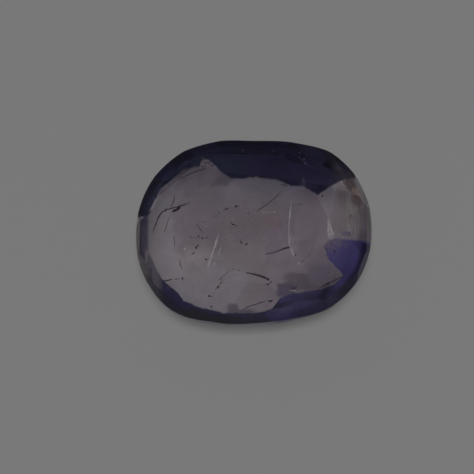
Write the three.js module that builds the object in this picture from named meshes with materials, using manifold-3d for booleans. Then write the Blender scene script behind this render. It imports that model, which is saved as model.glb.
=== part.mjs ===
// A cut iolite: an oval-cushion mixed cut, lying table up on its small flat culet.
// Millimetres, +Z up. The origin is on the surface under the middle of the stone.
// +X runs along the stone's length.

import * as THREE from "three";
import { mergeVertices } from "three/addons/utils/BufferGeometryUtils.js";
import Module from "manifold-3d";

// Driving dimensions
const PAVILION_DEPTH = 4.4; // culet to the girdle's lower edge
const GIRDLE_HEIGHT = 0.35;
const CROWN_HEIGHT = 1.4; // girdle's upper edge to the table

// The girdle's outline is a smooth closed curve through these distances from the axis,
// at even angles from +X. It isn't quite even, as on a stone cut by hand.
const GIRDLE_RADII = [
  6.0, 6.0, 5.75, 5.05, 4.75, 5.1, 5.6, 5.9,
  6.0, 6.05, 5.85, 5.15, 4.8, 4.95, 5.55, 5.9,
];
const OUTLINE_SIDES = 96;

const GIRDLE_BOTTOM = PAVILION_DEPTH;
const GIRDLE_TOP = GIRDLE_BOTTOM + GIRDLE_HEIGHT;
const TABLE_LEVEL = GIRDLE_TOP + CROWN_HEIGHT;

// Where each tier's facets pass: this far inside the outline, at this height
const GIRDLE_EDGE_INSET = 0.03;
const UPPER_CROWN_INSET = 0.35;
const UPPER_CROWN_LEVEL = GIRDLE_TOP + 0.6;
const BOTTOM_INSET = 1.6;
const BOTTOM_LEVEL = 0.9;

const CROWN = 1;
const PAVILION = -1;

// The cutting order. A facet is its azimuth and its slope from the girdle's plane, in degrees,
// and in places a further inset. The slopes wander by some degrees, as on a stone cut by hand.
const tiers = [
  {
    name: "lower crown",
    side: CROWN,
    inset: GIRDLE_EDGE_INSET,
    level: GIRDLE_TOP,
    facets: [
      [0, 62], [24, 58], [48, 37], [75, 35],
      [90, 34], [105, 35], [132, 37], [156, 40],
      [180, 62], [204, 58], [228, 49], [255, 59],
      [270, 61], [285, 52], [312, 53], [336, 71],
    ],
  },
  {
    name: "upper crown",
    side: CROWN,
    inset: UPPER_CROWN_INSET,
    level: UPPER_CROWN_LEVEL,
    facets: [
      [2, 24, 0.1], [32, 32, 0.1], [82, 27, 0.5], [143, 20, 0.4],
      [180, 24, 0.4], [227, 26, 0.4], [266, 27], [315, 19, 0.3],
    ],
  },
  {
    name: "pavilion belly",
    side: PAVILION,
    inset: GIRDLE_EDGE_INSET,
    level: GIRDLE_BOTTOM,
    facets: [
      [0, 78], [21, 76], [52, 74], [75, 69],
      [90, 70], [105, 73], [132, 70], [156, 73],
      [180, 71], [208, 75], [231, 71], [251, 75],
      [270, 67], [289, 65], [312, 64], [339, 66],
    ],
  },
  {
    name: "pavilion bottom",
    side: PAVILION,
    inset: BOTTOM_INSET,
    level: BOTTOM_LEVEL,
    facets: [
      [38, 20, -0.15], [95, 28, 0.1], [132, 24, 0.75], [168, 20, 0.75],
      [223, 18, 0.75], [273, 20, -0.25], [307, 25, -0.15], [348, 24],
    ],
  },
];

const radians = THREE.MathUtils.degToRad;

const wasm = await Module();
wasm.setup();

function solidFrom(geometry) {
  const bare = geometry.clone();
  bare.deleteAttribute("normal");
  bare.deleteAttribute("uv");
  const merged = mergeVertices(bare, 1e-4);
  const mesh = new wasm.Mesh({
    numProp: 3,
    vertProperties: merged.attributes.position.array,
    triVerts: merged.index.array,
  });
  return new wasm.Manifold(mesh);
}

function geometryFrom(solid) {
  const mesh = solid.getMesh();
  const geometry = new THREE.BufferGeometry();
  geometry.setAttribute("position", new THREE.BufferAttribute(mesh.vertProperties, 3));
  geometry.setIndex(new THREE.BufferAttribute(mesh.triVerts, 1));
  const faceted = geometry.toNonIndexed();
  faceted.computeVertexNormals();
  return faceted;
}

function girdleOutline() {
  const points = GIRDLE_RADII.map((radius, i) => {
    const angle = (2 * Math.PI * i) / GIRDLE_RADII.length;
    return new THREE.Vector3(radius * Math.cos(angle), radius * Math.sin(angle), 0);
  });
  const curve = new THREE.CatmullRomCurve3(points, true, "catmullrom");
  return curve.getPoints(OUTLINE_SIDES).slice(0, OUTLINE_SIDES);
}

const outline = girdleOutline();

// How far the outline reaches from the axis in a direction
function reach(outward) {
  return Math.max(...outline.map((point) => point.dot(outward)));
}

function preform() {
  const shape = new THREE.Shape(outline.map((point) => new THREE.Vector2(point.x, point.y)));
  const block = new THREE.ExtrudeGeometry(shape, { depth: TABLE_LEVEL, bevelEnabled: false });
  return solidFrom(block);
}

// Grinds one flat facet: everything past the plane through point, facing along normal, goes
const LAP = 40;
function grind(stone, normal, point) {
  const lap = new THREE.BoxGeometry(LAP, LAP, LAP);
  lap.translate(0, 0, LAP / 2);
  const turn = new THREE.Quaternion().setFromUnitVectors(new THREE.Vector3(0, 0, 1), normal);
  lap.applyQuaternion(turn);
  lap.translate(point.x, point.y, point.z);
  return stone.subtract(solidFrom(lap));
}

function cutFacet(stone, { side, inset, level }, [azimuth, slope, furtherInset = 0]) {
  const turn = radians(azimuth);
  const tilt = radians(slope);
  const outward = new THREE.Vector3(Math.cos(turn), Math.sin(turn), 0);
  const normal = outward.clone().multiplyScalar(Math.sin(tilt));
  normal.z = side * Math.cos(tilt);
  const point = outward.clone().multiplyScalar(reach(outward) - inset - furtherInset);
  point.z = level;
  return grind(stone, normal.normalize(), point);
}

function cutStone() {
  let stone = preform();
  for (const tier of tiers) {
    for (const facet of tier.facets) {
      stone = cutFacet(stone, tier, facet);
    }
  }
  return stone;
}

const iolite = new THREE.Mesh(
  geometryFrom(cutStone()),
  new THREE.MeshStandardMaterial({ color: 0x5b5478, roughness: 0.05, metalness: 0 }),
);
iolite.name = "iolite";

const gemstone = new THREE.Group();
gemstone.add(iolite);

export default gemstone;
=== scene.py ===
"""A cut iolite lying table up on a pale floor, seen from above its near side."""

import math
import random

import bmesh
import bpy
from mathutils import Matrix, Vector
from mathutils.bvhtree import BVHTree


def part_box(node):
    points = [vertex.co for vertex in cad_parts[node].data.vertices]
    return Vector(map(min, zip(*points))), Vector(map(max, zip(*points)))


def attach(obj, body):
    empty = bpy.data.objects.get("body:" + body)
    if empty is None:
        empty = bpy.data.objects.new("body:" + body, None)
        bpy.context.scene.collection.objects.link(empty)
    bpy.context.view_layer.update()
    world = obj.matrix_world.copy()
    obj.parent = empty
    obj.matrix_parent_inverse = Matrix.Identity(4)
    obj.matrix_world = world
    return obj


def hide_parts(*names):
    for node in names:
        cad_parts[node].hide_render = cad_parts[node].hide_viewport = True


MM = 0.001

# The photograph's frame, in its own pixels
FRAME_PIXELS = 474
STONE_PIXELS = 234.4
STONE_MIDDLE_X = 253.9
STONE_MIDDLE_Y = 231.7

# The camera: degrees above the floor, and millimetres
CAMERA_ELEVATION = 76.75
LENS = 100.0
SENSOR = 36.0
NEAREST_SEEN = 1.0

# The soft box, the dim surround and the floor: degrees, metres and watts
LIGHT_ELEVATION = 82
LIGHT_DISTANCE = 0.5
LIGHT_SIDE = 0.11
LIGHT_POWER = 0.58
LIGHT_COLOUR = (1.0, 1.0, 0.96)
STUDIO_COLOUR = (0.046, 0.043, 0.051, 1.0)
FLOOR_COLOUR = (0.7, 0.7, 0.7, 1.0)
FLOOR_SIZE = 4.0
FLOOR_GAP = 0.002 * MM

# How many faces a ray of light is followed through
BOUNCES = 40

# Optics of the crystal. The headroom keeps each part of the absorption's colour above 0.
IOLITE_IOR = 1.54
ABSORPTION_PER_MM = (0.0015, 0.004, 0.001)
ABSORPTION_HEADROOM = 1.25

# Roughness of the crown's rim, its worn lower right, the ground girdle and the inclusions
RIM_ROUGHNESS = 0.16
WORN_ROUGHNESS = 0.3
GIRDLE_ROUGHNESS = 0.35
INCLUSION_ROUGHNESS = 0.5
SPECK_ROUGHNESS = 0.4

# How far the facet edges are worn round, in millimetres
EDGE_WEAR = 0.01
WEAR_STEPS = 2
WEAR_PROFILE = 0.6

# Faces that turn less than the first angle are one facet, and an edge that turns more than
# the second is worn. Degrees. Corners nearer than ONE_CORNER, in metres, are one.
ONE_FACET = 0.4
WORN_EDGE = 6
ONE_CORNER = 1e-7

# Heights in millimetres, from the stone's cut
GIRDLE_BOTTOM = 4.4
GIRDLE_TOP = 4.75
BELLY_BOTTOM = 1.9

# The stone's outline as a squarish oval: half its length and width in millimetres
STONE_HALF = (6.0, 4.85)
STONE_SQUARENESS = 2.35


def linear(red, green, blue):
    """An sRGB colour, 0 to 255, as linear RGBA."""
    out = []
    for value in (red, green, blue):
        v = value / 255
        out.append(v / 12.92 if v <= 0.04045 else ((v + 0.055) / 1.055) ** 2.4)
    return (*out, 1.0)


# Node helpers


def new_material(name):
    material = bpy.data.materials.new(name)
    material.use_nodes = True
    tree = material.node_tree
    tree.nodes.clear()
    output = tree.nodes.new("ShaderNodeOutputMaterial")
    shader = tree.nodes.new("ShaderNodeBsdfPrincipled")
    tree.links.new(shader.outputs["BSDF"], output.inputs["Surface"])
    return material, tree, shader, output


def feed(tree, value, socket):
    """Links value to the socket if it is another socket, and sets it otherwise."""
    if isinstance(value, bpy.types.NodeSocket):
        tree.links.new(value, socket)
    else:
        socket.default_value = value


def maths(tree, operation, a, b=0.0):
    node = tree.nodes.new("ShaderNodeMath")
    node.operation = operation
    feed(tree, a, node.inputs[0])
    feed(tree, b, node.inputs[1])
    return node.outputs[0]


def joined(tree, operation, values):
    """The values joined by one operation, in their order."""
    result = values[0]
    for value in values[1:]:
        result = maths(tree, operation, result, value)
    return result


def both(tree, *masks):
    return joined(tree, "MULTIPLY", masks)


def either(tree, *masks):
    return joined(tree, "MAXIMUM", masks)


def scaled(tree, vector, factor):
    node = tree.nodes.new("ShaderNodeVectorMath")
    node.operation = "SCALE"
    tree.links.new(vector, node.inputs[0])
    feed(tree, factor, node.inputs["Scale"])
    return node.outputs[0]


def step(tree, value, low, high):
    """0 at low, 1 at high and smooth between them. low may be the larger."""
    node = tree.nodes.new("ShaderNodeMapRange")
    node.interpolation_type = "SMOOTHSTEP"
    feed(tree, value, node.inputs["Value"])
    feed(tree, low, node.inputs["From Min"])
    feed(tree, high, node.inputs["From Max"])
    return node.outputs["Result"]


def blend(tree, factor, a, b):
    node = tree.nodes.new("ShaderNodeMix")
    node.data_type = "RGBA"
    feed(tree, factor, node.inputs["Factor"])
    feed(tree, a, node.inputs[6])
    feed(tree, b, node.inputs[7])
    return node.outputs[2]


def lay(tree, colour, tint, *masks):
    """The colour with a tint laid over it where every mask is 1."""
    return blend(tree, both(tree, *masks), colour, tint)


def clouds(tree, vector, cells, detail, finer=None):
    """Noise from 0 to 1, with so many cells a millimetre, times finer along x, y and z."""
    if finer:
        mapping = tree.nodes.new("ShaderNodeMapping")
        mapping.inputs["Scale"].default_value = finer
        tree.links.new(vector, mapping.inputs["Vector"])
        vector = mapping.outputs["Vector"]
    node = tree.nodes.new("ShaderNodeTexNoise")
    tree.links.new(vector, node.inputs["Vector"])
    node.inputs["Scale"].default_value = cells
    node.inputs["Detail"].default_value = detail
    return node.outputs["Fac"]


def shifted(tree, value, noise, size):
    """The value moved about by a noise of that whole size."""
    centred = maths(tree, "SUBTRACT", noise, 0.5)
    return maths(tree, "ADD", value, maths(tree, "MULTIPLY", centred, size))


def stone_place(tree):
    """The place on the stone in millimetres, as a vector and as x, y and z."""
    coordinates = tree.nodes.new("ShaderNodeTexCoord")
    place = scaled(tree, coordinates.outputs["Object"], 1 / MM)
    parts = tree.nodes.new("ShaderNodeSeparateXYZ")
    tree.links.new(place, parts.inputs[0])
    return place, parts.outputs


def oval(tree, x, y, middle, half, squareness):
    """How far out a place is from an oval's middle: 1 on the oval, less inside."""
    terms = []
    for value, centre, size in zip((x, y), middle, half):
        away = maths(tree, "DIVIDE", maths(tree, "SUBTRACT", value, centre), size)
        terms.append(maths(tree, "POWER", maths(tree, "ABSOLUTE", away), squareness))
    return maths(tree, "POWER", joined(tree, "ADD", terms), 1 / squareness)


# The stone

# The clear window through the crown, in millimetres: its far and near edges as y for each x
FAR_EDGE = [
    (-5.4, 0.6), (-4.75, 2.0), (-3.55, 2.98), (-2.75, 3.1), (-2.65, 3.55), (-2.35, 3.5),
    (-1.5, 2.55), (-1.1, 2.3), (0.1, 2.38), (0.9, 2.3), (1.3, 2.2), (1.9, 1.95),
    (2.5, 1.9), (3.2, 1.45), (4.15, 2.15), (4.6, 2.5), (5.4, 2.75),
]
NEAR_EDGE = [
    (-5.5, -1.0), (-5.3, -1.3), (-4.95, -2.1), (-4.6, -2.72), (-3.8, -3.4), (-3.5, -3.8),
    (-2.7, -4.15), (-1.5, -4.43), (0.1, -4.45), (0.9, -4.25), (1.3, -3.75), (1.7, -3.58),
    (2.5, -3.4), (3.3, -3.25), (4.0, -3.0), (4.5, -2.5), (5.8, -2.2),
]

# The left edge of the violet patch in it, and both edges of a bright sliver that is a painted
# highlight, as x for each y
VIOLET_LEFT = [(-2.6, 4.6), (-2.35, 4.4), (-1.67, 3.7), (-1.1, 3.5), (-0.65, 3.95)]
HIGHLIGHT_SLIVER_LEFT = [(-0.68, 3.72), (0.35, 3.7), (1.38, 3.2), (2.0, 3.2)]
HIGHLIGHT_SLIVER_RIGHT = [(-0.68, 4.02), (-0.1, 3.85), (0.35, 3.8), (0.9, 3.97), (2.0, 4.15)]

# All of these lie within so many millimetres of the stone's middle
EDGE_REACH = 6.0

# Across each of them a mask turns from 0 to 1, between these two distances from it
FAR_BLUR = (-0.08, 0.08)
NEAR_BLUR = (0.1, 0.0)
VIOLET_BLUR = (-0.05, 0.0)
HIGHLIGHT_SLIVER_LEFT_BLUR = (-0.05, 0.0)
HIGHLIGHT_SLIVER_RIGHT_BLUR = (0.04, -0.02)

# Noises: cells a millimetre, detail, and how much finer they are along x, y and z
SOFT_NOISE = (0.8, 3.0)
FINE_NOISE = (5.0, 2.0)
TINT_NOISE = (0.9, 4.0)
STREAK_NOISE = (1.0, 3.0, (9.0, 0.5, 1.0))
FINGER_NOISE = (1.0, 3.0, (3.5, 0.5, 1.0))
MOTTLE_NOISE = (1.7, 4.0)
BAND_NOISE = (1.0, 2.0, (0.3, 3.0, 0.6))
GRAIN_NOISE = (7.0, 2.0)
INCLUSION_NOISE = (6.0, 3.0)

# How far they make edges and zones stray, in millimetres
EDGE_STRAY = 0.1
ZONE_STRAY = 1.6
FINGER_STRAY = 0.2
BAND_END_STRAY = 0.6
MAUVE_STRAY = 2.0

# How much darker they make the crystal, and how bright it is without them
MOTTLE_DEPTH = 0.3
BAND_DEPTH = 0.12
GRAIN_DEPTH = 0.2
BRIGHTEST = 1.31

# Tints of the window. Their brown and mauve hues are the crystal's own, but how light or dark
# they are from place to place is partly painted light and shade: the grey middle is painted
# shade of the floor under the stone, seen through the table, and the pale tint is painted light
# where the floor seen through it is lit, and a painted highlight on a bright sliver.
PALE_PAINTED_LIGHT = (1.0, 0.95, 1.0, 1.0)
MIDDLE_PAINTED_SHADE = (0.76, 0.68, 0.72, 1.0)
MIDDLE_NEAR = (0.96, 0.87, 0.9, 1.0)
BROWNISH = (0.84, 0.76, 0.7, 1.0)
MAUVISH = (0.84, 0.7, 0.9, 1.0)
UPPER_LEFT = (0.66, 0.58, 0.64, 1.0)
RIGHT_TONE = (0.68, 0.58, 0.65, 1.0)
BROWN = (1.0, 0.95, 0.88, 1.0)
STREAKS = (0.36, 0.27, 0.22, 1.0)
RIGHT_BAND = (0.38, 0.35, 0.34, 1.0)

# Tints of the rim and of the violet patch. The navy rim's darkness is partly the crystal's deep
# colour and partly painted shade; the deepest navy along the outline is painted shade.
NAVY = (0.012, 0.011, 0.05, 1.0)
NAVY_LEFT = (0.01, 0.015, 0.05, 1.0)
NAVY_RIGHT = (0.035, 0.03, 0.055, 1.0)
NAVY_PAINTED_SHADE = (0.003, 0.003, 0.016, 1.0)
NEAR_NAVY = (0.02, 0.018, 0.09, 1.0)
NEAR_PAINTED_SHADE = (0.009, 0.008, 0.055, 1.0)
NEAR_GREY = (0.26, 0.25, 0.32, 1.0)
CRESCENT_NAVY_AND_SHADE = (0.011, 0.009, 0.065, 1.0)
GREY = (1.0, 1.0, 0.72, 1.0)
GREY_OUTER = (0.3, 0.3, 0.27, 1.0)
GREY_LOW = (0.4, 0.385, 0.37, 1.0)
SLATE = (0.065, 0.055, 0.27, 1.0)
VIOLET = (0.13, 0.11, 0.66, 1.0)
MAUVE = (0.28, 0.23, 0.5, 1.0)

# Tints of the pavilion and of the ground girdle. The girdle's pale tint is its frosting, laid only
# where light falls on it, so partly painted light.
BELLY = (0.34, 0.28, 0.8, 1.0)
BELLY_LEFT = (0.66, 0.64, 0.7, 1.0)
BOTTOM = (1.0, 0.98, 1.0, 1.0)
FROSTED_AND_LIT = (0.8, 0.78, 0.8, 1.0)

# Zones of colour, each laid over those before it. A zone is a tint and one or more areas. An
# area is a list of ramps, and lies where all of them are 1. A ramp is what it follows, where
# it is 0 and where it is 1. What it can follow is said in stone_measures.
# How light or dark the window's zones are is partly painted light and shade: the grey middle is painted
# shade and the pale zones are painted light. The brownish, mauvish and brown hues are the crystal's own.
WINDOW_ZONES = [
    (MIDDLE_NEAR, [("stray_y", 0.0, -1.1)]),
    (BROWNISH, [("tints", 0.42, 0.32)]),
    (MAUVISH, [("tints", 0.55, 0.65)]),
    (UPPER_LEFT, [("stray_x", -1.2, -2.2), ("y", -1.8, -1.0)]),
    (PALE_PAINTED_LIGHT, [("y", 0.8, 2.2), ("stray_x", -1.5, -0.5)]),
    (PALE_PAINTED_LIGHT, [("stray_x", -3.5, -4.3)]),
    (PALE_PAINTED_LIGHT, [("stray_y", -1.4, -3.0), ("stray_x", 0.6, -1.0)]),
    (RIGHT_TONE, [("stray_x", 1.6, 3.0)]),
    (BROWN, [("stray_x", 4.0, 4.6)]),
]
RIGHT_BAND_ZONES = [
    (RIGHT_BAND, [("outline", 0.935, 0.955), ("x", 3.0, 4.0)]),
]
NEAR_RIM_ZONES = [
    (SLATE, [("stray_x", 0.9, 1.3)]),
    (NEAR_GREY, [("rough_x", -4.5, -4.9)]),
    (VIOLET, [("stray_x", 3.6, 4.6)]),
    # Painted shade along part of the outline
    (NEAR_PAINTED_SHADE, [("outline", 0.93, 0.96), ("x", -2.4, -1.4)]),
]
CRESCENT_ZONES = [
    # A dark crescent along the outline: the crystal's navy, partly painted shade
    (CRESCENT_NAVY_AND_SHADE, [("outline", 0.88, 0.93), ("rough_y", -0.7, -0.9), ("x", 1.0, 2.0)]),
]
FAR_RIM_ZONES = [
    (NAVY_LEFT, [("stray_x", 0.0, -1.0)]),
    (NAVY_PAINTED_SHADE, [("outline", 0.81, 0.87), ("x", 2.1, 2.6)], [("outline", 0.88, 0.93)]),
    (NAVY_RIGHT, [("stray_x", 3.6, 4.8)]),
]
LEFT_BAND_ZONES = [
    (GREY_OUTER, [("rough_x", -5.65, -5.75)]),
    (GREY_LOW, [("rough_y", -1.1, -1.5)], [("rough_y", 0.05, 0.35)]),
]
BELLY_ZONES = [
    (BELLY_LEFT, [("x", -1.5, -4.0)]),
]

# Other areas: of what is laid in its own way, of roughness, and of the stone's parts
STREAKED = [("streaks", 0.52, 0.6), ("x", 4.1, 4.6)]
# How far the bright sliver, a painted highlight, runs
HIGHLIGHT_SLIVER_LENGTH = [("y", -0.72, -0.62)]
VIOLET_LENGTH = [("rough_y", -0.64, -0.76)]
LEFT_BAND_WIDTH = [("rough_x", -5.28, -5.36)]
LESS_POLISHED = [("outline", 0.84, 0.9)]
WORN = [("down_right", 3.6, 4.6), ("x", 1.0, 2.4)]
ABOVE_BOTTOM = [("z", BELLY_BOTTOM, BELLY_BOTTOM + 0.8)]
ABOVE_BELLY = [("z", GIRDLE_BOTTOM - 0.2, GIRDLE_BOTTOM + 0.1)]
ABOVE_GIRDLE = [("z", GIRDLE_TOP - 0.1, GIRDLE_TOP)]
UPRIGHT = [("level", 0.12, 0.04)]
# Where the ground girdle's frosting is lit, a painted light
LIT_RIGHT_END = [("x", 3.6, 4.8)]
LIT_LOWER_LEFT = [("up_right", -3.4, -4.6)]

# Ramps over places that stray more, and how strongly the streaks are laid
LEFT_BAND_END = (0.6, 0.2)
MAUVE_TO_VIOLET = (4.9, 5.7)
STREAK_STRENGTH = 0.75

# Smaller patches of the window: middle, half size, and tint
PATCH_SQUARENESS = 4.5
PATCHES = [
    ((5.05, 2.35), (0.45, 0.55), (0.2, 0.15, 0.12, 1.0)),
    ((5.2, 1.55), (0.25, 0.5), (0.66, 0.47, 0.37, 1.0)),
    ((4.45, 1.5), (0.22, 0.65), (0.58, 0.49, 0.49, 1.0)),
    ((4.35, 0.3), (0.35, 0.75), (0.64, 0.56, 0.57, 1.0)),
    ((4.65, -0.42), (0.24, 0.12), (0.5, 0.4, 0.62, 1.0)),
    ((2.4, -2.85), (0.9, 0.4), (0.38, 0.31, 0.37, 1.0)),
    ((1.65, -3.35), (0.5, 0.35), (0.24, 0.2, 0.33, 1.0)),
    ((3.3, -2.5), (0.55, 0.5), (0.52, 0.45, 0.58, 1.0)),
    ((-1.05, -4.22), (0.28, 0.26), (0.32, 0.28, 0.38, 1.0)),
    ((-0.5, -4.42), (0.6, 0.2), (0.32, 0.28, 0.38, 1.0)),
    ((-2.0, 2.5), (0.8, 0.55), (0.5, 0.43, 0.51, 1.0)),
    ((0.9, 0.2), (0.5, 0.4), (0.84, 0.66, 0.68, 1.0)),
]

# Paler ones of the far rim, beside the window
FAR_PATCH_SQUARENESS = 2.0
FAR_PATCHES = [
    ((2.7, 2.0), (0.5, 0.25), (0.025, 0.022, 0.085, 1.0)),
    ((2.5, 2.1), (0.1, 0.32), (0.07, 0.064, 0.13, 1.0)),
]

# How uneven the patches are, and where they begin and are full, as shares of their size
PATCH_STRAY = 0.6
PATCH_BLUR = (1.25, 0.75)


def face_level(tree):
    """0 where a face is upright and 1 where it is level."""
    geometry = tree.nodes.new("ShaderNodeNewGeometry")
    normal = tree.nodes.new("ShaderNodeSeparateXYZ")
    tree.links.new(geometry.outputs["Normal"], normal.inputs[0])
    return maths(tree, "ABSOLUTE", normal.outputs["Z"])


def stone_measures(tree, place, x, y, z):
    """What the zones of colour can follow.

    x, y and z are in millimetres. rough_x and rough_y stray finely, and stray_x and stray_y
    softly. down_right is x less y, and up_right is x plus y. outline is 1 on the stone's
    outline and less inside. level is 0 on upright faces. The others are noises.
    """
    soft = clouds(tree, place, *SOFT_NOISE)
    fine = clouds(tree, place, *FINE_NOISE)
    return {
        "x": x,
        "y": y,
        "z": z,
        "rough_x": shifted(tree, x, fine, EDGE_STRAY),
        "rough_y": shifted(tree, y, fine, EDGE_STRAY),
        "stray_x": shifted(tree, x, soft, ZONE_STRAY),
        "stray_y": shifted(tree, y, soft, ZONE_STRAY),
        "down_right": maths(tree, "SUBTRACT", x, y),
        "up_right": maths(tree, "ADD", x, y),
        "outline": oval(tree, x, y, (0.0, 0.0), STONE_HALF, STONE_SQUARENESS),
        "level": face_level(tree),
        "soft": soft,
        "fine": fine,
        "tints": clouds(tree, place, *TINT_NOISE),
        "streaks": clouds(tree, place, *STREAK_NOISE),
        "fingers": clouds(tree, place, *FINGER_NOISE),
    }


def within(tree, at, *areas):
    """1 in any of the areas and 0 outside them."""
    masks = []
    for ramps in areas:
        masks.append(both(tree, *[step(tree, at[name], low, high) for name, low, high in ramps]))
    return either(tree, *masks)


def zoned(tree, colour, at, zones):
    """The colour with zones laid over it."""
    for tint, *areas in zones:
        colour = lay(tree, colour, tint, within(tree, at, *areas))
    return colour


def patched(tree, colour, at, patches, squareness):
    """The colour with soft-edged oval patches laid over it."""
    for middle, half, tint in patches:
        ring = oval(tree, at["x"], at["y"], middle, half, squareness)
        ring = shifted(tree, ring, at["fine"], PATCH_STRAY)
        colour = lay(tree, colour, tint, step(tree, ring, *PATCH_BLUR))
    return colour


def edge_curve(tree, along, points):
    """The broken line through the points, as a value for each place along it."""
    node = tree.nodes.new("ShaderNodeFloatCurve")
    curve = node.mapping.curves[0]
    whole = 2 * EDGE_REACH
    places = [(a / whole + 0.5, b / whole + 0.5) for a, b in points]
    curve.points[0].location = places[0]
    curve.points[1].location = places[-1]
    for place in places[1:-1]:
        curve.points.new(*place)
    for point in curve.points:
        point.handle_type = "VECTOR"
    node.mapping.extend = "HORIZONTAL"
    node.mapping.update()
    share = maths(tree, "ADD", maths(tree, "DIVIDE", along, whole), 0.5)
    feed(tree, share, node.inputs["Value"])
    centred = maths(tree, "SUBTRACT", node.outputs["Value"], 0.5)
    return maths(tree, "MULTIPLY", centred, whole)


def past(tree, value, along, edge, blur):
    """0 on one side of the edge and 1 on the other. Its points say which value it has along it."""
    line = edge_curve(tree, along, edge)
    low, high = (maths(tree, "ADD", line, distance) for distance in blur)
    return step(tree, value, low, high)


def window_colour(tree, at):
    """Grey in the middle, pale at the left and brown at the right, as seen through the table.

    The grey middle is painted shade and the pale parts are painted light, with a painted
    highlight on a bright sliver. The brown is the crystal's own.
    """
    colour = zoned(tree, MIDDLE_PAINTED_SHADE, at, WINDOW_ZONES)
    colour = lay(tree, colour, STREAKS, within(tree, at, STREAKED), STREAK_STRENGTH)
    colour = patched(tree, colour, at, PATCHES, PATCH_SQUARENESS)
    colour = zoned(tree, colour, at, RIGHT_BAND_ZONES)
    left = past(tree, at["x"], at["y"], HIGHLIGHT_SLIVER_LEFT, HIGHLIGHT_SLIVER_LEFT_BLUR)
    right = past(tree, at["x"], at["y"], HIGHLIGHT_SLIVER_RIGHT, HIGHLIGHT_SLIVER_RIGHT_BLUR)
    # The bright sliver is a painted highlight, laid in the pale tint.
    return lay(tree, colour, PALE_PAINTED_LIGHT, left, right, within(tree, at, HIGHLIGHT_SLIVER_LENGTH))


def with_violet_patch(tree, colour, at):
    """Violet at the right end, mauve where it meets the window."""
    across = maths(tree, "SUBTRACT", at["stray_x"], at["stray_y"])
    across = shifted(tree, across, at["fine"], MAUVE_STRAY)
    tint = lay(tree, MAUVE, VIOLET, step(tree, across, *MAUVE_TO_VIOLET))
    inside = past(tree, at["rough_x"], at["rough_y"], VIOLET_LEFT, VIOLET_BLUR)
    return lay(tree, colour, tint, inside, within(tree, at, VIOLET_LENGTH))


def with_near_rim(tree, colour, at):
    """Navy, grey at the left end, slate and violet at the right with a dark crescent outside.

    The navy and the crescent are partly the crystal's deep colour and partly painted shade,
    and the darkest strip along the outline is painted shade.
    """
    rim = zoned(tree, NEAR_NAVY, at, NEAR_RIM_ZONES)
    colour = lay(tree, colour, rim, past(tree, at["rough_y"], at["rough_x"], NEAR_EDGE, NEAR_BLUR))
    return zoned(tree, colour, at, CRESCENT_ZONES)


def with_far_rim(tree, colour, at):
    """Navy, bluer at the left, greyer at the right, and nearly black along the outline.

    The navy is partly the crystal's deep colour and partly painted shade, and the near black
    along the outline is painted shade.
    """
    rim = zoned(tree, NAVY, at, FAR_RIM_ZONES)
    rim = patched(tree, rim, at, FAR_PATCHES, FAR_PATCH_SQUARENESS)
    fingered_y = shifted(tree, at["y"], at["fingers"], FINGER_STRAY)
    return lay(tree, colour, rim, past(tree, fingered_y, at["rough_x"], FAR_EDGE, FAR_BLUR))


def with_left_band(tree, colour, at):
    """Grey at the left end, darker along the outline and at both ends of the band."""
    band = zoned(tree, GREY, at, LEFT_BAND_ZONES)
    straying_y = shifted(tree, at["y"], at["soft"], BAND_END_STRAY)
    near_part = step(tree, straying_y, *LEFT_BAND_END)
    return lay(tree, colour, band, within(tree, at, LEFT_BAND_WIDTH), near_part)


def crown_colour(tree, at):
    """The window, with the violet patch, the dark blue rim and the grey band round it.

    The rim's darkness is partly the crystal's colour and partly painted shade.
    """
    colour = window_colour(tree, at)
    colour = with_violet_patch(tree, colour, at)
    colour = with_near_rim(tree, colour, at)
    colour = with_far_rim(tree, colour, at)
    return with_left_band(tree, colour, at)


def pavilion_colour(tree, at):
    """Across the stone the crystal is violet-blue, and the bottom facets are nearly clear."""
    belly = zoned(tree, BELLY, at, BELLY_ZONES)
    return lay(tree, BOTTOM, belly, within(tree, at, ABOVE_BOTTOM))


def with_mottling(tree, colour, place):
    """The colour made uneven by soft spots, faint bands and a fine grain."""
    darker = []
    for noise, depth in (
        (MOTTLE_NOISE, MOTTLE_DEPTH),
        (BAND_NOISE, BAND_DEPTH),
        (GRAIN_NOISE, GRAIN_DEPTH),
    ):
        darker.append(maths(tree, "MULTIPLY", clouds(tree, place, *noise), depth))
    return scaled(tree, colour, maths(tree, "SUBTRACT", BRIGHTEST, joined(tree, "ADD", darker)))


def stone_colour(tree, at, place):
    """The crown's colour over the pavilion's.

    The ground girdle is pale at the right and lower left, where its frosting is lit: a painted
    light.
    """
    upper = within(tree, at, ABOVE_BELLY)
    colour = lay(tree, pavilion_colour(tree, at), crown_colour(tree, at), upper)
    lit_sides = within(tree, at, LIT_RIGHT_END, LIT_LOWER_LEFT)
    colour = lay(tree, colour, FROSTED_AND_LIT, within(tree, at, UPRIGHT), lit_sides)
    return with_mottling(tree, colour, place)


def stone_roughness(tree, at):
    """The table is well polished, the rim less so, the lower right worn and the girdle ground."""
    rim = both(tree, within(tree, at, LESS_POLISHED), RIM_ROUGHNESS)
    worn = both(tree, within(tree, at, WORN), WORN_ROUGHNESS)
    crown = both(tree, within(tree, at, ABOVE_GIRDLE), either(tree, rim, worn))
    return either(tree, crown, both(tree, within(tree, at, UPRIGHT), GIRDLE_ROUGHNESS))


def add_absorption(tree, output):
    """The crystal's own weak colour, the same in all directions."""
    node = tree.nodes.new("ShaderNodeVolumeAbsorption")
    density = ABSORPTION_HEADROOM * max(ABSORPTION_PER_MM) / MM
    passes = [1 - per_mm / MM / density for per_mm in ABSORPTION_PER_MM]
    node.inputs["Color"].default_value = (*passes, 1.0)
    node.inputs["Density"].default_value = density
    tree.links.new(node.outputs["Volume"], output.inputs["Volume"])


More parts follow.
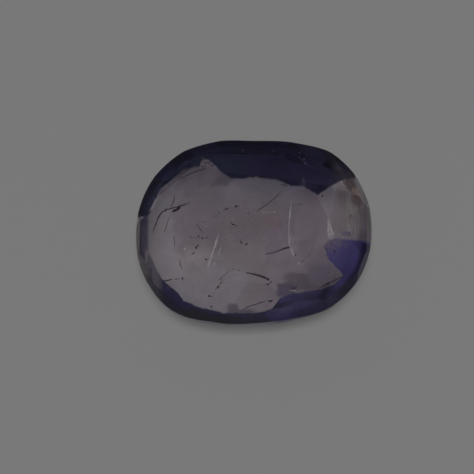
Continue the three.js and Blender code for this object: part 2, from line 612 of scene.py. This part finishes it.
def iolite_material():
    material, tree, shader, output = new_material("iolite")
    place, (x, y, z) = stone_place(tree)
    at = stone_measures(tree, place, x, y, z)
    tree.links.new(stone_colour(tree, at, place), shader.inputs["Base Color"])
    tree.links.new(stone_roughness(tree, at), shader.inputs["Roughness"])
    shader.inputs["Transmission Weight"].default_value = 1.0
    shader.inputs["IOR"].default_value = IOLITE_IOR
    add_absorption(tree, output)
    return material


def add_piece(name, shape):
    mesh = bpy.data.meshes.new(name)
    shape.to_mesh(mesh)
    shape.free()
    piece = bpy.data.objects.new(name, mesh)
    bpy.context.scene.collection.objects.link(piece)
    return piece


def worn_stone(node):
    """The stone with each facet as one face and its facet edges slightly rounded."""
    shape = bmesh.new()
    shape.from_mesh(node.data)
    bmesh.ops.remove_doubles(shape, verts=shape.verts, dist=ONE_CORNER)
    bmesh.ops.dissolve_limit(
        shape, angle_limit=math.radians(ONE_FACET), verts=shape.verts, edges=shape.edges
    )
    sharp = [e for e in shape.edges if e.calc_face_angle(0.0) > math.radians(WORN_EDGE)]
    bmesh.ops.bevel(
        shape,
        geom=sharp,
        offset=EDGE_WEAR * MM,
        offset_type="OFFSET",
        segments=WEAR_STEPS,
        profile=WEAR_PROFILE,
        affect="EDGES",
        clamp_overlap=True,
    )
    return add_piece("cut_stone", shape)


# What is inside the stone and in its surface. Places are in millimetres, in the stone's own axes.

# Dark needles and healed cracks, at one level under the table: thickness, then x and y
# along them
NEEDLE_LEVEL = 4.8
NEEDLES = [
    (0.075, [(-5.05, -0.25), (-4.85, 0.3), (-4.55, 0.85), (-4.15, 0.95), (-3.65, 1.05), (-3.05, 1.25)]),
    (0.15, [(-4.05, 0.75), (-3.8, 0.88), (-3.6, 1.0)]),
    (0.05, [(-3.95, 1.7), (-4.0, 1.3), (-4.15, 1.0)]),
    (0.035, [(-4.1, 0.65), (-4.25, 0.25), (-4.4, -0.25)]),
    (0.05, [(-2.97, -1.28), (-3.14, -1.39)]),
    (0.035, [(-3.9, -0.38), (-3.82, -0.72), (-3.8, -0.98)]),
    (0.045, [(-3.61, -1.48), (-3.58, -1.72), (-3.51, -1.98)]),
    (0.05, [(-3.85, 2.5), (-3.05, 2.85), (-2.3, 3.1)]),
    (0.07, [(-4.46, -2.62), (-4.24, -2.56), (-4.0, -2.52)]),
    (0.04, [(-3.9, -2.51), (-3.65, -2.5)]),
    (0.055, [(-1.5, 0.94), (-1.28, 1.03)]),
    (0.055, [(-1.0, 1.13), (-0.72, 1.13)]),
    (0.05, [(1.35, 2.29), (1.71, 2.15)]),
    (0.055, [(-0.59, -4.04), (-0.24, -3.87), (0.12, -3.73), (0.72, -3.53)]),
    (0.09, [(0.7, -3.53), (0.84, -3.59), (0.97, -3.5)]),
    (0.07, [(4.8, 0.78), (4.78, 0.5)]),
    (0.04, [(4.9, 0.6), (4.92, 0.0), (4.9, -0.5)]),
    (0.04, [(5.08, 1.0), (5.1, 0.3), (5.12, -0.4)]),
    (0.07, [(5.25, 0.02), (5.27, -0.3), (5.3, -0.62)]),
    (0.04, [(5.35, 0.9), (5.38, 0.3), (5.4, -0.5)]),
]

# Broken ones are rows of dots: thickness, dots, then x and y along them
DOTTED = [
    (0.06, 14, [(-2.55, 0.25), (-2.1, 0.5), (-1.55, 0.9), (-0.75, 1.15)]),
    (0.07, 8, [(-1.2, 0.3), (-0.9, 0.1)]),
    (0.055, 10, [(-3.3, -0.45), (-2.9, -0.55), (-2.35, -0.55)]),
    (0.07, 12, [(-2.1, -4.05), (-2.15, -3.6), (-1.9, -3.0), (-1.78, -2.83)]),
    (0.075, 10, [(-1.8, -2.88), (-1.65, -2.62), (-1.45, -2.42)]),
    (0.055, 10, [(-1.4, -2.35), (-1.15, -2.17), (-0.65, -2.23)]),
    (0.06, 12, [(1.6, 1.05), (2.15, 1.2), (2.6, 1.25)]),
    (0.06, 8, [(2.1, -1.7), (2.5, -1.5), (2.7, -1.2)]),
]
DOT_STRAY = 0.03
DOT_SHARES = (0.3, 1.3)

# Single grains: size, x and y
GRAINS = [
    (0.1, -2.8, -0.45), (0.09, -2.59, -0.55), (0.09, -2.38, -0.52), (0.12, -2.91, -1.04),
    (0.1, -2.81, -0.93), (0.11, -2.4, -1.63), (0.14, -3.48, -2.47), (0.13, -2.21, -3.31),
    (0.09, -2.09, -3.87), (0.1, -1.78, -2.83), (0.08, -0.29, 0.75), (0.14, 0.72, -2.66),
    (0.12, 3.48, 1.66), (0.09, 3.83, -0.42),
]

# Dust under the table: how many, between which places, and between which sizes
DUST_GRAINS = 80
DUST_X = (-4.6, 4.2)
DUST_Y = (-3.2, 1.9)
DUST_Z = (3.6, NEEDLE_LEVEL)
DUST_SIZES = (0.02, 0.05)

# Dark ones in the surface of the worn crown at the lower right
SURFACE_NEEDLES = [
    (0.06, [(3.18, -3.2), (3.64, -2.92), (4.0, -2.75), (4.51, -2.5)]),
    (0.1, [(3.45, -3.02), (3.64, -2.92), (3.8, -2.86)]),
    (0.06, [(1.79, -3.22), (2.14, -3.16)]),
    (0.05, [(3.56, -1.15), (3.62, -1.3)]),
    (0.06, [(3.98, -1.28), (4.06, -1.38)]),
    (0.05, [(3.84, -0.92), (3.9, -1.02)]),
]

# Greyer ones in the middle
GREY_NEEDLES = [
    (0.035, [(-2.95, 0.27), (-2.77, -0.02), (-2.52, -0.34)]),
    (0.055, [(0.07, 0.83), (0.35, 0.99), (0.77, 1.29), (1.12, 1.6), (1.4, 1.89)]),
    (0.06, [(0.53, -1.39), (1.02, -1.28), (1.66, -1.03)]),
    (0.1, [(1.2, -1.22), (1.66, -1.03), (1.87, -1.03)]),
    (0.08, [(-0.42, -2.31), (0.01, -2.39), (0.41, -2.52)]),
    (0.13, [(-0.1, -2.36), (0.35, -2.5), (0.72, -2.64)]),
]

# Two short rusty ones, which make one mark
RUSTY_MARKS = [
    (0.08, [(-0.71, -0.67), (-0.56, -0.85)]),
    (0.08, [(-0.47, -0.93), (-0.32, -0.79)]),
]

# Bright scratches in the surface, the last two beside a bruise at the table's right end
SCRATCHES = [
    (0.05, [(-1.73, -0.4), (-1.9, -1.05), (-2.12, -1.65), (-2.31, -2.25)]),
    (0.04, [(1.9, 1.37), (1.8, 0.5), (1.74, -0.3), (1.77, -1.04), (1.93, -1.6)]),
    (0.09, [(-1.87, -0.8), (-1.9, -1.05), (-2.02, -1.37)]),
    (0.09, [(-2.05, -1.5), (-2.12, -1.65), (-2.15, -1.75)]),
    (0.12, [(-2.17, -1.83), (-2.23, -2.03), (-2.31, -2.25)]),
    (0.045, [(-1.61, -1.14), (-1.69, -1.4), (-1.72, -1.65)]),
    (0.1, [(-1.93, -1.95), (-2.0, -2.19)]),
    (0.09, [(1.82, 0.7), (1.79, 0.42), (1.77, 0.25)]),
    (0.06, [(1.82, -0.55), (1.78, -0.84), (1.73, -1.04)]),
    (0.07, [(1.88, -1.26), (1.96, -1.65)]),
    (0.09, [(2.21, -1.93), (2.22, -2.1)]),
    (0.045, [(1.74, -3.33), (2.19, -3.35)]),
    (0.1, [(3.7, 0.2), (3.7, -0.15), (3.71, -0.5)]),
    (0.1, [(3.76, -0.05), (3.85, -0.3), (3.98, -0.5)]),
]
BRUISE = (3.85, -0.6)
BRUISE_RADIUS = 0.13
BRUISE_THICKNESS = 0.08
BRUISE_CORNERS = 9

# Fine bright lines across the right end: how many, and between which places and measures
RIGHT_END_LINES = 10
LINE_X = (4.75, 5.4)
LINE_Y = (-0.2, 1.3)
LINE_LENGTHS = (0.15, 0.5)
LINE_BEND = 0.03
LINE_THICKNESSES = (0.015, 0.03)

# Bright points: size, x and y
BRIGHT_POINTS = [
    (0.12, -3.44, -1.28), (0.08, 3.67, 1.69), (0.08, 4.08, 1.78), (0.07, 2.21, -3.12), (0.06, -2.4, -0.1),
]

# Tiny specks on the crown, and a splintered chip, as x and y
SPECKS = [
    (-5.35, 1.3), (-5.24, -2.21), (-4.63, -3.01), (-5.35, -1.16), (2.6, 3.3), (2.33, 3.66),
    (3.1, 3.1), (3.4, 3.4), (2.58, 3.57), (2.35, 3.96), (-0.56, 4.09), (1.01, 4.06),
    (-2.05, 1.95), (2.05, -1.6), (-4.3, -3.1), (2.9, -3.7),
]
SPECK_SIZES = (0.05, 0.09)
CHIP = [(-2.68, 3.69), (-2.54, 3.38), (-2.33, 3.3), (-2.05, 3.05)]
CHIP_SPLINTERS = 22
CHIP_SPREAD = 0.05
SPLINTER_SIZES = (0.04, 0.14)

# Darkest and lightest tone of each
NEEDLE_TONES = (linear(16, 12, 16), linear(74, 64, 68))
GREY_TONES = (linear(100, 90, 95), linear(138, 128, 133))
RUSTY_TONES = (linear(108, 74, 72), linear(138, 106, 104))
SCRATCH_TONES = (linear(215, 205, 215), linear(250, 245, 252))
SPECK_TONES = (linear(80, 72, 72), linear(150, 142, 150))

# What starts the random draws of each
NEEDLE_SEED = 11
GREY_SEED = 12
RUSTY_SEED = 3
SCRATCH_SEED = 5
SPECK_SEED = 8

# A thread's rings and their distance in millimetres, how thick its tips are and how fast
# it grows from there, and how far along it its direction is taken, as shares
THREAD_SIDES = 6
RING_DISTANCE = 0.06
FEWEST_RINGS = 8
TIP_SHARE = 0.1
TAPER_STEEPNESS = 6
AIM_STEP = 0.01

# How far a thread strays, as a share of its thickness up to WIDEST_STRAY, in millimetres.
# How thick it is from ring to ring, and how far out a grain's corners are, as shares.
THREAD_STRAY = 0.3
WIDEST_STRAY = 0.06
THREAD_SHARES = (0.55, 1.1)
GRAIN_SHARES = (0.7, 1.2)


def path_point(points, t):
    """A point of the smooth curve through the points, with t from 0 to 1."""
    spans = len(points) - 1
    i = min(int(t * spans), spans - 1)
    u = t * spans - i
    p1 = Vector(points[i])
    p2 = Vector(points[i + 1])
    p0 = Vector(points[i - 1]) if i > 0 else 2 * p1 - p2
    p3 = Vector(points[i + 2]) if i + 2 <= spans else 2 * p2 - p1
    return 0.5 * (2 * p1 + (p2 - p0) * u + (2 * p0 - 5 * p1 + 4 * p2 - p3) * u**2
                  + (3 * p1 - p0 - 3 * p2 + p3) * u**3)


def thread_taper(t):
    """Full thickness along most of the thread, and pointed at both ends."""
    to_nearer_end = min(t, 1 - t)
    return min(1.0, TAPER_STEEPNESS * to_nearer_end + TIP_SHARE)


def add_ring(shape, middle, across, up, radius):
    ring = []
    for k in range(THREAD_SIDES):
        turn = 2 * math.pi * k / THREAD_SIDES
        rim = across * math.cos(turn) + up * math.sin(turn)
        ring.append(shape.verts.new((middle + rim * radius) * MM))
    return ring


def add_thread(shape, points, thickness, chance):
    """A thin closed thread along the points, tapering to both ends and slightly uneven."""
    length = sum((Vector(b) - Vector(a)).length for a, b in zip(points, points[1:]))
    rings = max(FEWEST_RINGS, int(length / RING_DISTANCE))
    loops = []
    for i in range(rings + 1):
        t = i / rings
        here = path_point(points, t)
        before = path_point(points, max(0.0, t - AIM_STEP))
        after = path_point(points, min(1.0, t + AIM_STEP))
        aim = after - before
        across = aim.cross(Vector((0, 0, 1))).normalized()
        up = across.cross(aim).normalized()
        wander = chance.uniform(-THREAD_STRAY, THREAD_STRAY) * min(thickness, WIDEST_STRAY)
        share = thread_taper(t) * chance.uniform(*THREAD_SHARES)
        loops.append(add_ring(shape, here + across * wander, across, up, 0.5 * thickness * share))
    for a, b in zip(loops, loops[1:]):
        for k in range(THREAD_SIDES):
            beside = (k + 1) % THREAD_SIDES
            shape.faces.new((a[k], a[beside], b[beside], b[k]))
    shape.faces.new(list(reversed(loops[0])))
    shape.faces.new(loops[-1])


def add_dot(shape, place, size, chance):
    """An uneven grain."""
    grain = bmesh.ops.create_icosphere(shape, subdivisions=1, radius=0.5 * size * MM)
    for vertex in grain["verts"]:
        vertex.co *= chance.uniform(*GRAIN_SHARES)
        vertex.co += place * MM


def lifted(points, level):
    return [(x, y, level) for x, y in points]


def crown_finder(stone):
    """A function that gives the place on the crown's surface over x and y."""
    mesh = stone.data
    tree = BVHTree.FromPolygons([v.co for v in mesh.vertices], [p.vertices for p in mesh.polygons])

    def on_crown(x, y):
        above = Vector((x, y, 2 * GIRDLE_TOP)) * MM
        return tree.ray_cast(above, Vector((0, 0, -1)))[0] / MM

    return on_crown


def add_buried_threads(shape, threads, chance):
    for thickness, points in threads:
        add_thread(shape, lifted(points, NEEDLE_LEVEL), thickness, chance)


def add_surface_threads(shape, threads, on_crown, chance):
    for thickness, points in threads:
        add_thread(shape, [on_crown(x, y) for x, y in points], thickness, chance)


def inclusion_material(name, tones, roughness=INCLUSION_ROUGHNESS):
    material, tree, shader, _ = new_material(name)
    place, _ = stone_place(tree)
    tone = blend(tree, clouds(tree, place, *INCLUSION_NOISE), *tones)
    tree.links.new(tone, shader.inputs["Base Color"])
    shader.inputs["Roughness"].default_value = roughness
    return material


def add_inclusion(name, shape, material):
    piece = add_piece(name, shape)
    piece.data.materials.append(material)
    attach(piece, "root")


def add_dotted_needles(shape, chance):
    for thickness, count, points in DOTTED:
        path = lifted(points, NEEDLE_LEVEL)
        for i in range(count):
            place = path_point(path, (i + 0.5 + chance.uniform(-0.5, 0.5)) / count)
            place += Vector([chance.uniform(-DOT_STRAY, DOT_STRAY) for _ in range(3)])
            add_dot(shape, place, thickness * chance.uniform(*DOT_SHARES), chance)


def add_dust(shape, chance):
    for _ in range(DUST_GRAINS):
        place = Vector([chance.uniform(*reach) for reach in (DUST_X, DUST_Y, DUST_Z)])
        add_dot(shape, place, chance.uniform(*DUST_SIZES), chance)


def add_dark_needles(on_crown, material):
    """Needles, rows of dots, grains and dust in the stone, and the cracks that reach its surface."""
    chance = random.Random(NEEDLE_SEED)
    shape = bmesh.new()
    add_buried_threads(shape, NEEDLES, chance)
    add_dotted_needles(shape, chance)
    for size, x, y in GRAINS:
        add_dot(shape, Vector((x, y, NEEDLE_LEVEL)), size, chance)
    add_dust(shape, chance)
    add_surface_threads(shape, SURFACE_NEEDLES, on_crown, chance)
    add_inclusion("dark_needles", shape, material)


def add_tinted_threads(name, threads, seed, tones):
    """Threads under the table that have a colour of their own."""
    shape = bmesh.new()
    add_buried_threads(shape, threads, random.Random(seed))
    add_inclusion(name, shape, inclusion_material(name, tones))


def right_end_line(chance):
    """A slightly bent line towards the near side, as three places."""
    x = chance.uniform(*LINE_X)
    y = chance.uniform(*LINE_Y)
    length = chance.uniform(*LINE_LENGTHS)
    bent_x = x + chance.uniform(-LINE_BEND, LINE_BEND)
    return [(x, y), (bent_x, y - 0.5 * length), (x, y - length)]


def bruise_ring():
    ring = []
    for k in range(BRUISE_CORNERS + 1):
        turn = 2 * math.pi * k / BRUISE_CORNERS
        x = BRUISE[0] + BRUISE_RADIUS * math.cos(turn)
        y = BRUISE[1] + BRUISE_RADIUS * math.sin(turn)
        ring.append((x, y))
    return ring


def add_scratches(on_crown, material):
    """Thin bright lines, a bruise and bright points, half sunk in the surface."""
    chance = random.Random(SCRATCH_SEED)
    shape = bmesh.new()
    add_surface_threads(shape, SCRATCHES, on_crown, chance)
    for _ in range(RIGHT_END_LINES):
        line = right_end_line(chance)
        add_surface_threads(shape, [(chance.uniform(*LINE_THICKNESSES), line)], on_crown, chance)
    add_surface_threads(shape, [(BRUISE_THICKNESS, bruise_ring())], on_crown, chance)
    for size, x, y in BRIGHT_POINTS:
        add_dot(shape, on_crown(x, y), size, chance)
    add_inclusion("bright_scratches", shape, material)


def add_specks(on_crown, material):
    """Tiny grains and a splintered chip that sit in the crown's surface."""
    chance = random.Random(SPECK_SEED)
    shape = bmesh.new()
    for x, y in SPECKS:
        add_dot(shape, on_crown(x, y), chance.uniform(*SPECK_SIZES), chance)
    for _ in range(CHIP_SPLINTERS):
        place = path_point(lifted(CHIP, 0), chance.uniform(0, 1))
        x = place.x + chance.gauss(0, CHIP_SPREAD)
        y = place.y + chance.gauss(0, CHIP_SPREAD)
        add_dot(shape, on_crown(x, y), chance.uniform(*SPLINTER_SIZES), chance)
    add_inclusion("crown_specks", shape, material)


# The floor, the light and the camera


def near_side_up(elevation):
    """The direction that leans towards the near side, at that many degrees above the floor."""
    tilt = math.radians(elevation)
    return Vector((0, -math.cos(tilt), math.sin(tilt)))


def facing_back(away):
    """The turn of a light or camera that lies in that direction and looks back along it."""
    return (-away).to_track_quat("-Z", "Y").to_euler()


def add_floor():
    bpy.ops.mesh.primitive_plane_add(size=FLOOR_SIZE, location=(0, 0, -FLOOR_GAP))
    floor = bpy.context.object
    floor.name = "floor"
    material, _, shader, _ = new_material("floor")
    shader.inputs["Base Color"].default_value = FLOOR_COLOUR
    shader.inputs["Roughness"].default_value = 1.0
    shader.inputs["Specular IOR Level"].default_value = 0.0
    floor.data.materials.append(material)


def add_light():
    data = bpy.data.lights.new("softbox", "AREA")
    data.shape = "SQUARE"
    data.size = LIGHT_SIDE
    data.energy = LIGHT_POWER
    data.color = LIGHT_COLOUR
    light = bpy.data.objects.new("softbox", data)
    light.location = near_side_up(LIGHT_ELEVATION) * LIGHT_DISTANCE
    light.rotation_euler = facing_back(light.location)
    bpy.context.scene.collection.objects.link(light)


def add_studio():
    world = bpy.data.worlds.new("studio")
    bpy.context.scene.world = world
    world.use_nodes = True
    world.node_tree.nodes["Background"].inputs["Color"].default_value = STUDIO_COLOUR


def add_camera(length):
    """A camera that shows a stone of that length at the size and place it has in the photograph."""
    data = bpy.data.cameras.new("camera")
    data.lens = LENS
    data.sensor_width = SENSOR
    data.clip_start = NEAREST_SEEN * MM
    half = FRAME_PIXELS / 2
    data.shift_x = (half - STONE_MIDDLE_X) / FRAME_PIXELS
    data.shift_y = (STONE_MIDDLE_Y - half) / FRAME_PIXELS
    camera = bpy.data.objects.new("camera", data)
    away = near_side_up(CAMERA_ELEVATION)
    distance = length * LENS / SENSOR * FRAME_PIXELS / STONE_PIXELS
    camera.location = Vector((0, 0, GIRDLE_BOTTOM * MM)) + away * distance
    camera.rotation_euler = facing_back(away)
    bpy.context.scene.collection.objects.link(camera)
    bpy.context.scene.camera = camera


def set_look():
    scene = bpy.context.scene
    scene.view_settings.view_transform = "Standard"
    scene.cycles.max_bounces = BOUNCES
    scene.cycles.transmission_bounces = BOUNCES
    scene.cycles.glossy_bounces = BOUNCES
    scene.cycles.sample_clamp_indirect = 0


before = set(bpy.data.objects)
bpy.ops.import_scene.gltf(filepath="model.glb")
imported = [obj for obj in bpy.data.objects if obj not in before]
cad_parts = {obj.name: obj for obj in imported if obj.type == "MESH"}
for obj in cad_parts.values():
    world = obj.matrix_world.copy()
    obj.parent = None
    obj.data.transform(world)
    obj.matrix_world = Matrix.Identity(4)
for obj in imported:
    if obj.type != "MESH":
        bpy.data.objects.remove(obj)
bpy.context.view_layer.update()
low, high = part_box("iolite")

stone = worn_stone(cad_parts["iolite"])
stone.data.materials.append(iolite_material())
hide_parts("iolite")
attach(stone, "root")

on_crown = crown_finder(stone)
add_dark_needles(on_crown, inclusion_material("dark_needles", NEEDLE_TONES))
add_tinted_threads("grey_needles", GREY_NEEDLES, GREY_SEED, GREY_TONES)
add_tinted_threads("rusty_mark", RUSTY_MARKS, RUSTY_SEED, RUSTY_TONES)
add_scratches(on_crown, inclusion_material("bright_scratches", SCRATCH_TONES))
add_specks(on_crown, inclusion_material("crown_specks", SPECK_TONES, SPECK_ROUGHNESS))
add_floor()
add_light()
add_studio()
add_camera(high.x - low.x)
set_look()
